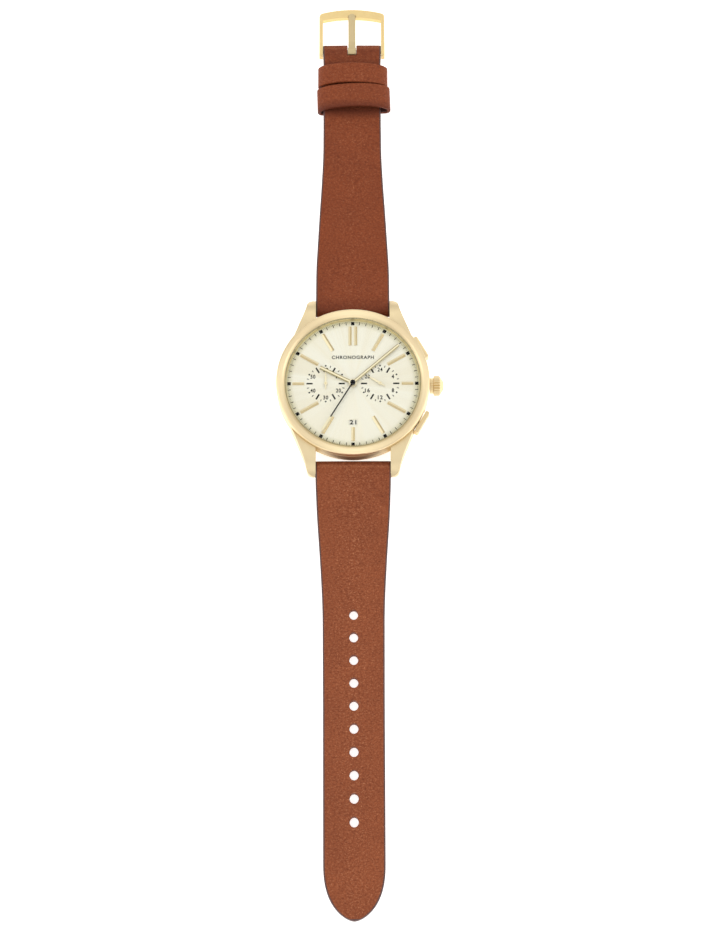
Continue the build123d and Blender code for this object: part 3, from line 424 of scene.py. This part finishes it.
FINISHES = {
    "case_satin": metal("gold_satin", (0.77, 0.63, 0.385), (0.71, 0.565, 0.33), 0.38,
                        line_grain(2600.0, 260.0, 2600.0), 0.06),
    "case_polished": metal("gold_polished", (0.80, 0.635, 0.375), (0.72, 0.56, 0.31), 0.30,
                           ring_grain(1500.0, 6.0), 0.05),
    "bezel": bezel_gold(),
    "crown": metal("gold_crown", (0.78, 0.615, 0.35), (0.68, 0.52, 0.28), 0.33,
                   line_grain(700.0, 2600.0, 2600.0), 0.05),
    # The flange's gold is paler than the case's, as painted light on its rim, which sits in shadow under the
    # bezel.
    "flange": metal("gold_flange", (0.95, 0.83, 0.53), (0.86, 0.74, 0.45), 0.45,
                    ring_grain(1800.0, 5.0), 0.05),
    "buckle": metal("gold_buckle", (0.79, 0.60, 0.285), (0.70, 0.525, 0.24), 0.40,
                    line_grain(2600.0, 700.0, 2600.0), 0.06),
    "tongue": metal("gold_tongue", (0.60, 0.48, 0.27), (0.52, 0.41, 0.22), 0.40,
                    line_grain(2600.0, 700.0, 2600.0), 0.06),
    "crystal": crystal_glass(),
    "crystal_seat": moulded("crystal_seat", (0.42, 0.34, 0.17), 0.5),
    "gasket": moulded("gasket_rubber", (0.03, 0.03, 0.03), 0.7),
    "back_steel": metal("steel_back", (0.72, 0.72, 0.71), (0.55, 0.55, 0.54), 0.26, ring_grain(2400.0, 4.0)),
    "movement_brass": metal("movement_brass", (0.80, 0.64, 0.30), (0.62, 0.46, 0.18), 0.3,
                            ring_grain(1500.0, 9.0)),
    "movement_steel": metal("movement_steel", (0.66, 0.66, 0.67), (0.5, 0.5, 0.51), 0.25,
                            line_grain(2600.0, 500.0, 500.0)),
    "movement_plastic": moulded("movement_plastic", (0.74, 0.71, 0.63)),
    "dial_face": dial_lacquer(),
    "marker_gold": marker_gold(),
    "hand_gold": hand_gold(),
    "hand_black": chrono_paint(),
    "date_white": moulded("date_white", (0.99, 0.95, 0.83), 0.55),
    "board_green": board_lacquer(),
    "coil_copper": coil_wire(),
    "soft_iron": metal("soft_iron", (0.52, 0.52, 0.53), (0.4, 0.4, 0.41), 0.32,
                       line_grain(500.0, 2200.0, 500.0)),
    "strap_leather": LEATHER_SET[LEATHER_FACE],
}
OWN_FINISH = {"bezel": "bezel", "inner_ring": "flange", "crystal_gasket": "crystal_seat",
              "buckle_frame": "buckle", "buckle_tongue": "tongue",
              "crown": "crown", "pusher_start": "crown", "pusher_reset": "crown",
              "minute_hand": "hand_gold", "hour_hand": "hand_gold",
              "counter_hand": "hand_gold", "day_hand": "hand_gold"}
for part in frame["record"]["subparts"]:
    cad_object = NODES[part["node"]]
    cad_object.data.materials.clear()
    cad_object.data.materials.append(FINISHES[OWN_FINISH.get(part["node"], part["material_slot"])])

INK = printed_ink("ink_black", (0.006, 0.006, 0.005))
INK_SOFT = printed_ink("ink_olive", (0.045, 0.038, 0.018))
INK_FAINT = printed_ink("ink_faint", (0.30, 0.27, 0.15))


# ---------------------------------------------------------------- mesh helpers
def placed(name, mesh, body, materials):
    """Puts a mesh in the scene as a piece that rides on a body."""
    made = bpy.data.objects.new(name, mesh)
    bpy.context.scene.collection.objects.link(made)
    for material in materials:
        mesh.materials.append(material)
    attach(made, body)
    return made


def finished_mesh(name, shape, smooth=True):
    bmesh.ops.recalc_face_normals(shape, faces=shape.faces)
    mesh = bpy.data.meshes.new(name)
    shape.to_mesh(mesh)
    shape.free()
    if smooth:
        for face in mesh.polygons:
            face.use_smooth = True
    return mesh


def pressed(shape, outline, low, high):
    """Adds an upright prism over a plan outline."""
    lower = [shape.verts.new((x, y, low)) for x, y in outline]
    upper = [shape.verts.new((x, y, high)) for x, y in outline]
    shape.faces.new(upper)
    shape.faces.new(lower[::-1])
    count = len(outline)
    for index in range(count):
        after = (index + 1) % count
        shape.faces.new((lower[index], lower[after], upper[after], upper[index]))


def clock_place(radius, angle, center=(0.0, 0.0)):
    """Plan point at a radius and an angle clockwise from 12."""
    turn = math.radians(angle)
    return center[0] + radius * math.sin(turn), center[1] + radius * math.cos(turn)


def tick(inner, outer, width, angle, center=(0.0, 0.0)):
    """Outline of a radial bar."""
    turn = math.radians(angle)
    side = (math.cos(turn) * width / 2, -math.sin(turn) * width / 2)
    first = clock_place(inner, angle, center)
    last = clock_place(outer, angle, center)
    return [(first[0] - side[0], first[1] - side[1]), (first[0] + side[0], first[1] + side[1]),
            (last[0] + side[0], last[1] + side[1]), (last[0] - side[0], last[1] - side[1])]


def dot(radius, center, count=20):
    turns = [2 * math.pi * index / count for index in range(count)]
    return [(center[0] + radius * math.cos(turn), center[1] + radius * math.sin(turn)) for turn in turns]


PRINT_SUNK = 0.01 * MM
PRINT_RAISED = 0.025 * MM


def print_piece(name, outlines, ink):
    """Raised print on the dial, as one mesh of prisms."""
    shape = bmesh.new()
    for outline in outlines:
        pressed(shape, outline, DIAL_TOP - PRINT_SUNK, DIAL_TOP + PRINT_RAISED)
    placed(name, finished_mesh(name, shape, False), "case", [ink])


def lettering(text, height, width):
    """Mesh of a line of text, centred on the origin, with this cap height and width."""
    curve = bpy.data.curves.new("lettering", "FONT")
    curve.body = text
    curve.extrude = 0.01
    curve.offset = 0.026
    curve.space_character = 1.16
    made = bpy.data.objects.new("lettering", curve)
    bpy.context.scene.collection.objects.link(made)
    bpy.context.view_layer.update()
    mesh = bpy.data.meshes.new_from_object(made.evaluated_get(bpy.context.evaluated_depsgraph_get()))
    bpy.data.objects.remove(made)
    bpy.data.curves.remove(curve)
    xs = [vertex.co.x for vertex in mesh.vertices]
    ys = [vertex.co.y for vertex in mesh.vertices]
    tall = height / (max(ys) - min(ys))
    wide = width / (max(xs) - min(xs))
    for vertex in mesh.vertices:
        vertex.co.x = (vertex.co.x - (max(xs) + min(xs)) / 2) * wide
        vertex.co.y = (vertex.co.y - (max(ys) + min(ys)) / 2) * tall
        vertex.co.z = PRINT_RAISED if vertex.co.z > 0 else -PRINT_SUNK
    return mesh


def text_piece(name, items, low, body="case"):
    """One mesh from several (text, height, width, x, y, turn) items."""
    shape = bmesh.new()
    for text, height, width, x, y, turn in items:
        mesh = lettering(text, height, width)
        spin = math.radians(turn)
        for vertex in mesh.vertices:
            old = vertex.co.copy()
            vertex.co = (x + old.x * math.cos(spin) + old.y * math.sin(spin),
                         y - old.x * math.sin(spin) + old.y * math.cos(spin), low + old.z)
        shape.from_mesh(mesh)
        bpy.data.meshes.remove(mesh)
    bmesh.ops.remove_doubles(shape, verts=shape.verts, dist=1e-7)
    placed(name, finished_mesh(name, shape, False), body, [INK])


# ---------------------------------------------------------------- dial print
CAPTION_Y = 7.45 * MM
DATE_RADIUS = 10.88 * MM
DAYS = 31
DAY_SHOWN = 21


def dial_print():
    """Minute and quarter second tracks, and the squares at the hours."""
    minutes = [tick(16.75 * MM, 17.6 * MM, 0.2 * MM, 6 * index) for index in range(60) if index % 5]
    print_piece("minute_track", minutes, INK_SOFT)
    fine = [tick(17.2 * MM, 17.55 * MM, 0.09 * MM, 1.5 * index) for index in range(240) if index % 4]
    print_piece("quarter_track", fine, INK_FAINT)
    squares = [tick(16.65 * MM, 17.6 * MM, 0.9 * MM, 30 * index) for index in range(12)]
    print_piece("hour_squares", squares, INK)


def subdial_print(name, side, numerals):
    """Scale and numerals of one subdial."""
    center = (side * SUBDIAL_X, 0.0)
    marks = []
    for index in range(6):
        turn = 60 * index
        marks.append(tick(3.5 * MM, 5.15 * MM, 0.42 * MM, turn + 30, center))
        marks.append(dot(0.23 * MM, clock_place(5.08 * MM, turn, center)))
        for offset in (-15, 15):
            marks.append(tick(4.65 * MM, 5.2 * MM, 0.19 * MM, turn + offset, center))
    print_piece(name + "_scale", marks, INK)
    items = []
    for index, number in enumerate(numerals):
        x, y = clock_place(3.95 * MM, 60 * index, center)
        items.append((number, 1.12 * MM, 0.66 * MM * len(number), x, y, 0.0))
    text_piece(name + "_numerals", items, DIAL_TOP)


def date_numerals():
    """The days round the date ring, with one of them in the opening."""
    items = []
    for day in range(1, DAYS + 1):
        angle = 180 + (day - DAY_SHOWN) * 360 / DAYS
        x, y = clock_place(DATE_RADIUS, angle)
        items.append((str(day), 1.2 * MM, 0.88 * MM * len(str(day)), x, y, angle - 180))
    text_piece("date_numerals", items, DATE_TOP, "date_ring")


dial_print()
subdial_print("counter", -1, ("60", "10", "20", "30", "40", "50"))
subdial_print("day", 1, ("24", "4", "8", "12", "16", "20"))
text_piece("dial_caption", [("CHRONOGRAPH", 0.98 * MM, 11.3 * MM, 0.0, CAPTION_Y, 0.0)], DIAL_TOP)
date_numerals()


# ---------------------------------------------------------------- strap
STRAP_STEP = 0.45 * MM
EDGE_ROUND = 0.42 * MM
TOP_CROWN = 0.16 * MM
STRAP_THICK = 2.1 * MM
LIFT = 1.1 * MM
CASE_LOOP_R = 1.75 * MM
BUCKLE_LOOP_R = 1.6 * MM
HOLE_R = 1.18 * MM
HOLE_STRETCH = 1.16
FIRST_HOLE_Y = -62.6 * MM
HOLE_PITCH = 6.05 * MM
HOLE_COUNT = 10
HOLE_POINTS = 40
EDGE_SHOWN = 0.46 * MM
SHOULDER_Y = -127 * MM
TIP_ROUND = 1.2 * MM
TONGUE_SLOT_HALF = 1.25 * MM
TONGUE_SLOT_BACK = 1.5 * MM
BUCKLE_NOSE = 0.5 * MM
CORNER_POINTS = 7
# strap widths at distances from the case's centre, in millimetres
UPPER_WIDTHS = ((15.0, 20.0), (34.6, 20.0), (43.4, 19.0), (52.4, 18.0), (58.4, 17.2), (67.5, 16.15),
                (80.0, 16.0), (98.0, 16.0), (101.0, 16.5), (145.0, 16.5))
LOWER_WIDTHS = ((15.0, 20.2), (25.7, 20.2), (35.7, 19.4), (45.6, 18.0), (55.4, 16.85), (61.9, 16.35),
                (85.0, 16.1), (145.0, 15.9))


def eased(value, low, high):
    share = min(max((value - low) / (high - low), 0.0), 1.0)
    return share * share * (3 - 2 * share)


def table_value(table, place):
    """Straight-line reading of a short (place, value) table in millimetres."""
    far = abs(place) / MM
    for (start, first), (end, last) in zip(table, table[1:]):
        if far <= end:
            return (first + (last - first) * max(far - start, 0.0) / (end - start)) * MM
    return table[-1][1] * MM


def half_width(y):
    widths = UPPER_WIDTHS if y > 0 else LOWER_WIDTHS
    around = [table_value(widths, y + step * MM) for step in (-3, -1.5, 0, 1.5, 3)]
    return sum(around) / len(around) / 2


def section(half, low, high, count=46):
    """Rounded section of the strap in X and Z, as points from the lower left, clockwise over the top."""
    thick = high - low
    curve = min(EDGE_ROUND, thick * 0.49, half * 0.49)
    crown = TOP_CROWN * min(1.0, thick / STRAP_THICK)
    points = []
    for index in range(CORNER_POINTS):
        turn = math.radians(90 * index / (CORNER_POINTS - 1))
        points.append((-half + curve - curve * math.sin(turn), low + curve - curve * math.cos(turn)))
    for index in range(CORNER_POINTS):
        turn = math.radians(90 * index / (CORNER_POINTS - 1))
        points.append((-half + curve - curve * math.cos(turn), high - crown - curve + curve * math.sin(turn)))
    flat = half - curve
    for index in range(1, count):
        x = -flat + 2 * flat * index / count
        points.append((x, high - crown * (x / flat) ** 2 if flat > 0 else high))
    points += [(-x, z) for x, z in reversed(points[:2 * CORNER_POINTS])]
    for index in range(1, 16):
        points.append((flat - 2 * flat * index / 16, low))
    return points


def grain_height(x, y, z):
    """Slow unevenness of the leather's top."""
    slow = noise.noise(Vector((x, y, z)) * 210.0)
    quick = noise.noise(Vector((x, y * 1.5, z + 3.0)) * 720.0)
    return slow * 0.05 * MM + quick * 0.022 * MM


def lofted(stations, y_of):
    """Skin over closed sections, closed at both ends."""
    shape = bmesh.new()
    rows = [[shape.verts.new((x, y_of(index), z)) for x, z in points]
            for index, points in enumerate(stations)]
    for before, after in zip(rows, rows[1:]):
        count = len(before)
        for index in range(count):
            other = (index + 1) % count
            shape.faces.new((before[index], before[other], after[other], after[index]))
    shape.faces.new(rows[0][::-1])
    shape.faces.new(rows[-1])
    return shape


def cut(mesh_object, tools, folded=False):
    """Takes the tools away from a mesh, one after another; folded is for a skin that meets itself."""
    for tool in tools:
        cutter = bpy.data.objects.new("cutter", finished_mesh("cutter", tool, False))
        bpy.context.scene.collection.objects.link(cutter)
        modifier = mesh_object.modifiers.new("holes", "BOOLEAN")
        modifier.operation = "DIFFERENCE"
        modifier.solver = "EXACT"
        modifier.use_self = folded
        modifier.object = cutter
        bpy.context.view_layer.update()
        view = bpy.context.evaluated_depsgraph_get()
        made = bpy.data.meshes.new_from_object(mesh_object.evaluated_get(view))
        mesh_object.modifiers.clear()
        mesh_object.data = made
        bpy.data.objects.remove(cutter)


def column(shape, radius, start, end, count=32):
    """Adds a round rod between two points."""
    axis = end - start
    turn = Vector((0, 0, 1)).rotation_difference(axis).to_matrix().to_4x4()
    turn.translation = (start + end) / 2
    bmesh.ops.create_cone(shape, cap_ends=True, segments=count, radius1=radius, radius2=radius,
                          depth=axis.length, matrix=turn)


def bar_bore(y, z):
    shape = bmesh.new()
    column(shape, 0.8 * MM, Vector((-15 * MM, y, z)), Vector((15 * MM, y, z)))
    return shape


def along(start, end, step):
    count = max(2, round(abs(end - start) / step))
    return [start + (end - start) * index / count for index in range(count + 1)]


def strap_profile_upper(y):
    """Lowest and highest point of the buckle half at y, after its loops."""
    top_rise = eased(y, 59 * MM, 66 * MM) * LIFT
    case_pad = 1.0 - eased(y, 23 * MM, 37 * MM)
    high = STRAP_THICK + top_rise + case_pad * (BAR_Z + CASE_LOOP_R - STRAP_THICK)
    low = top_rise + (1.0 - eased(y, 22.4 * MM, 27 * MM)) * (BAR_Z - CASE_LOOP_R)
    fold = eased(y, BUCKLE_Y - 4 * MM, BUCKLE_Y)
    high += fold * (BUCKLE_Z + BUCKLE_LOOP_R - high)
    low += fold * (BUCKLE_Z - BUCKLE_LOOP_R - low)
    return low, high


def strap_profile_lower(y):
    """Lowest and highest point of the holes half at y."""
    far = -y
    pad = 1.0 - eased(far, 23 * MM, 37 * MM)
    high = STRAP_THICK + pad * (BAR_Z + CASE_LOOP_R - STRAP_THICK)
    low = (1.0 - eased(far, 22.4 * MM, 27 * MM)) * (BAR_Z - CASE_LOOP_R)
    return low, high


def nose(bar_y, bar_z, radius, side, profile_half, extra=0.0):
    """Sections round a bar, from its far side to above it."""
    made = []
    for index in range(1, 13):
        turn = math.radians(90 * index / 12)
        y = bar_y + side * (radius + extra) * math.cos(turn)
        rise = radius * math.sin(turn)
        made.append((y, section(profile_half, bar_z - rise, bar_z + rise)))
    return made


def tail_half(y):
    """Half width of the holes half, rounded off past its shoulder."""
    if y > SHOULDER_Y:
        return half_width(y)
    share = (y - SHOULDER_Y) / (STRAP_LOW[0].y - SHOULDER_Y)
    return half_width(y) * max(1.0 - share ** 2.6, 0.0) ** 0.62


def strap_piece(name, node, rows, tools):
    """Strap half from (y, section) rows, with cut holes and its three kinds of surface."""
    shape = lofted([points for _, points in rows], lambda index: rows[index][0])
    bmesh.ops.recalc_face_normals(shape, faces=shape.faces)
    for vertex in shape.verts:
        if vertex.normal.z > 0.3:
            vertex.co.z += grain_height(*vertex.co)
    made = placed(name, finished_mesh(name, shape), node, [])
    cut(made, tools, folded=node == "strap_upper")
    mesh = made.data
    mesh.materials.clear()
    for material in LEATHER_SET:
        mesh.materials.append(material)
    for face in mesh.polygons:
        level = face.normal.z
        x, y, _ = face.center
        rim = (tail_half(y) if y < 0 else half_width(y)) - EDGE_SHOWN
        painted = abs(x) > rim or y < STRAP_LOW[0].y + EDGE_SHOWN
        if painted and level > -0.6:
            face.material_index = EDGE_AND_SHADE_FACE
        elif level < -0.6:
            face.material_index = LINING_FACE
        else:
            face.material_index = LEATHER_FACE
        face.use_smooth = abs(level) > 0.05
    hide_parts(node)


def strap_upper():
    rows = nose(BAR_Y, BAR_Z, CASE_LOOP_R, -1, half_width(BAR_Y))[:-1]
    rows += [(y, section(half_width(y), *strap_profile_upper(y))) for y in along(BAR_Y, BUCKLE_Y, STRAP_STEP)]
    rows += nose(BUCKLE_Y, BUCKLE_Z, BUCKLE_LOOP_R, 1, half_width(BUCKLE_Y), BUCKLE_NOSE)[-2::-1]
    back, front = BUCKLE_Y - TONGUE_SLOT_BACK, BUCKLE_Y + 4 * MM
    slot = bmesh.new()
    pressed(slot, [(-TONGUE_SLOT_HALF, back), (TONGUE_SLOT_HALF, back),
                   (TONGUE_SLOT_HALF, front), (-TONGUE_SLOT_HALF, front)], -1 * MM, 9 * MM)
    tools = [bar_bore(BAR_Y, BAR_Z), bar_bore(BUCKLE_Y, BUCKLE_Z), slot]
    strap_piece("strap_upper_leather", "strap_upper", rows, tools)


def strap_lower():
    rows = nose(-BAR_Y, BAR_Z, CASE_LOOP_R, 1, half_width(BAR_Y))[:-1]
    tip = STRAP_LOW[0].y
    places = along(-BAR_Y, SHOULDER_Y, STRAP_STEP) + along(SHOULDER_Y, tip + TIP_ROUND, STRAP_STEP)[1:]
    places += [tip + TIP_ROUND * (1 - share / 14) ** 2 for share in range(1, 14)]
    for y in places:
        low, high = strap_profile_lower(y)
        end = min((y - tip) / EDGE_ROUND, 1.0)
        pinch = EDGE_ROUND * (1 - math.sqrt(max(1 - (1 - end) ** 2, 0.0)))
        rows.append((y, section(max(tail_half(y), 0.05 * MM), low + pinch, high - pinch)))
    holes = bmesh.new()
    turns = [2 * math.pi * step / HOLE_POINTS for step in range(HOLE_POINTS)]
    for index in range(HOLE_COUNT):
        y = FIRST_HOLE_Y - index * HOLE_PITCH
        oval = [(HOLE_R * math.cos(turn), y + HOLE_STRETCH * HOLE_R * math.sin(turn)) for turn in turns]
        pressed(holes, oval, -1 * MM, 5 * MM)
    strap_piece("strap_lower_leather", "strap_lower", rows, [bar_bore(-BAR_Y, BAR_Z), holes])


strap_upper()
strap_lower()


# ---------------------------------------------------------------- keepers
KEEPER_HALF_THICK = 0.5 * MM
KEEPER_WAIST = 2.0 * MM
KEEPER_BEND = 1.0 * MM
KEEPER_ROUND = 0.3 * MM
KEEPER_MIDDLE_Z = 3 * MM


def keeper_path(node):
    """Middle line of a keeper in X and Z."""
    low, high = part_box(node)
    half = high.x - KEEPER_HALF_THICK
    rise = high.z - KEEPER_WAIST - KEEPER_HALF_THICK
    under = low.z + KEEPER_HALF_THICK
    bend = KEEPER_BEND
    points = [(half * math.cos(turn), KEEPER_WAIST + rise * math.sin(turn))
              for turn in [math.pi * index / 72 for index in range(73)]]
    for index in range(11):
        turn = math.radians(180 + 9 * index)
        points.append((-half + bend + bend * math.cos(turn), under + bend + bend * math.sin(turn)))
    points += [(-half + bend + (2 * half - 2 * bend) * index / 24, under) for index in range(1, 24)]
    for index in range(11):
        turn = math.radians(270 + 9 * index)
        points.append((half - bend + bend * math.cos(turn), under + bend + bend * math.sin(turn)))
    return points


def keeper(name, node, body, shift=(0.0, 0.0), skew=0.0):
    """Leather loop, moved a little sideways and turned as it sits on the strap."""
    low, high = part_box(node)
    path = keeper_path(node)
    middle = (low.y + high.y) / 2
    half_long = (high.y - low.y) / 2
    profile = []
    for side_y, side_n, first in ((1, 1, 0), (-1, 1, 90), (-1, -1, 180), (1, -1, 270)):
        for index in range(6):
            turn = math.radians(first + 18 * index)
            profile.append((side_y * (half_long - KEEPER_ROUND) + KEEPER_ROUND * math.cos(turn),
                            side_n * (KEEPER_HALF_THICK - KEEPER_ROUND) + KEEPER_ROUND * math.sin(turn)))
    fine = []
    for (y, out), (next_y, next_out) in zip(profile, profile[1:] + profile[:1]):
        steps = max(1, round(abs(next_y - y) / (0.5 * MM)))
        fine += [(y + (next_y - y) * k / steps, out + (next_out - out) * k / steps) for k in range(steps)]
    shape = bmesh.new()
    rows = []
    count = len(path)
    for index, (x, z) in enumerate(path):
        before, after = path[index - 1], path[(index + 1) % count]
        run = Vector((after[0] - before[0], after[1] - before[1])).normalized()
        rows.append([shape.verts.new((x + run.y * out, middle + y, z - run.x * out)) for y, out in fine])
    for index in range(count):
        before, after = rows[index], rows[(index + 1) % count]
        for k in range(len(fine)):
            other = (k + 1) % len(fine)
            shape.faces.new((before[k], before[other], after[other], after[k]))
    bmesh.ops.recalc_face_normals(shape, faces=shape.faces)
    for vertex in shape.verts:
        if vertex.co.z > KEEPER_MIDDLE_Z:
            vertex.co += vertex.normal * grain_height(*vertex.co)
    turn = Matrix.Rotation(math.radians(skew), 3, "Z")
    center = Vector((0.0, middle, 0.0))
    for vertex in shape.verts:
        vertex.co = turn @ (vertex.co - center) + center + Vector((*shift, 0.0))
    made = placed(name, finished_mesh(name, shape), body, LEATHER_SET)
    # The loop's inner faces take the dark edge paint as painted shade inside the loop.
    for face in made.data.polygons:
        from_middle = Vector((face.center.x - shift[0], 0, face.center.z - KEEPER_MIDDLE_Z))
        if face.normal.dot(from_middle) < 0 and abs(face.normal.y) < 0.6:
            face.material_index = EDGE_AND_SHADE_FACE
    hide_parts(node)


keeper("keeper_fixed_leather", "keeper_fixed", "strap_upper", (0.2 * MM, 0.0))
keeper("keeper_free_leather", "keeper_free", "keeper_free", (0.45 * MM, -0.3 * MM), 1.8)


# ---------------------------------------------------------------- floor, light and camera
FLOOR_GAP = 0.05 * MM
FLOOR_SIZE = 3.0
SOFTBOX_RADIUS = 0.9
SOFTBOX_HEIGHT = 0.7
CAMERA_PLACE = (0.00182, -0.21556, 0.62226)
CAMERA_TILT = 17.4
CAMERA_ROLL = -0.22
CAMERA_LENS = 94.33
CAMERA_SENSOR = 36.0


def floor():
    finish = Finish("floor_paper", Emission_Color=(1.0, 1.0, 1.0, 1.0), Emission_Strength=0.72)
    fibre = finish.noise(400.0, 4.0)
    finish.feed("Base Color", finish.blend(fibre, (0.93, 0.93, 0.93), (0.95, 0.95, 0.95)))
    finish.feed("Roughness", finish.remap(fibre, 0.3, 0.7, 0.85, 0.95))
    shape = bmesh.new()
    bmesh.ops.create_grid(shape, x_segments=4, y_segments=4, size=FLOOR_SIZE)
    made = bpy.data.objects.new("floor", finished_mesh("floor", shape, False))
    made.location.z = CAD_BOX[0][2] - FLOOR_GAP
    made.data.materials.append(finish.material)
    bpy.context.scene.collection.objects.link(made)


def softbox(name, place, size, power):
    """Square area light aimed at the dial."""
    light = bpy.data.lights.new(name, "AREA")
    light.size = size
    light.energy = power
    made = bpy.data.objects.new(name, light)
    made.location = place
    made.rotation_euler = (-Vector(place)).to_track_quat("-Z", "Y").to_euler()
    bpy.context.scene.collection.objects.link(made)


def studio():
    world = bpy.data.worlds.new("studio")
    world.use_nodes = True
    tree = world.node_tree
    back = tree.nodes["Background"]
    back.inputs["Strength"].default_value = 1.0
    place = tree.nodes.new("ShaderNodeTexCoord")
    split = tree.nodes.new("ShaderNodeSeparateXYZ")
    ramp = tree.nodes.new("ShaderNodeValToRGB")
    tree.links.new(place.outputs["Generated"], split.inputs[0])
    tree.links.new(split.outputs[2], ramp.inputs[0])
    tree.links.new(ramp.outputs[0], back.inputs["Color"])
    ramp.color_ramp.elements[0].position = 0.3
    ramp.color_ramp.elements[0].color = (0.76, 0.76, 0.76, 1.0)
    ramp.color_ramp.elements[1].position = 0.95
    ramp.color_ramp.elements[1].color = (0.86, 0.86, 0.86, 1.0)
    bpy.context.scene.world = world
    for index in range(4):
        turn = math.radians(90 * index)
        power = 1.3 if index % 2 == 0 else 0.7
        x, y = SOFTBOX_RADIUS * math.cos(turn), SOFTBOX_RADIUS * math.sin(turn)
        softbox(f"softbox_{index}", (x, y, SOFTBOX_HEIGHT), 0.6, power)
    softbox("overhead", (0.0, 0.0, 1.5), 1.4, 1.6)


def camera():
    data = bpy.data.cameras.new("camera")
    data.sensor_width = CAMERA_SENSOR
    data.lens = CAMERA_LENS
    made = bpy.data.objects.new("camera", data)
    made.location = CAMERA_PLACE
    tilt = Matrix.Rotation(math.radians(CAMERA_TILT), 3, "X")
    roll = Matrix.Rotation(math.radians(CAMERA_ROLL), 3, "Z")
    made.rotation_euler = (tilt @ roll).to_euler()
    bpy.context.scene.collection.objects.link(made)
    bpy.context.scene.camera = made


floor()
studio()
camera()
bpy.context.scene.view_settings.view_transform = "Standard"
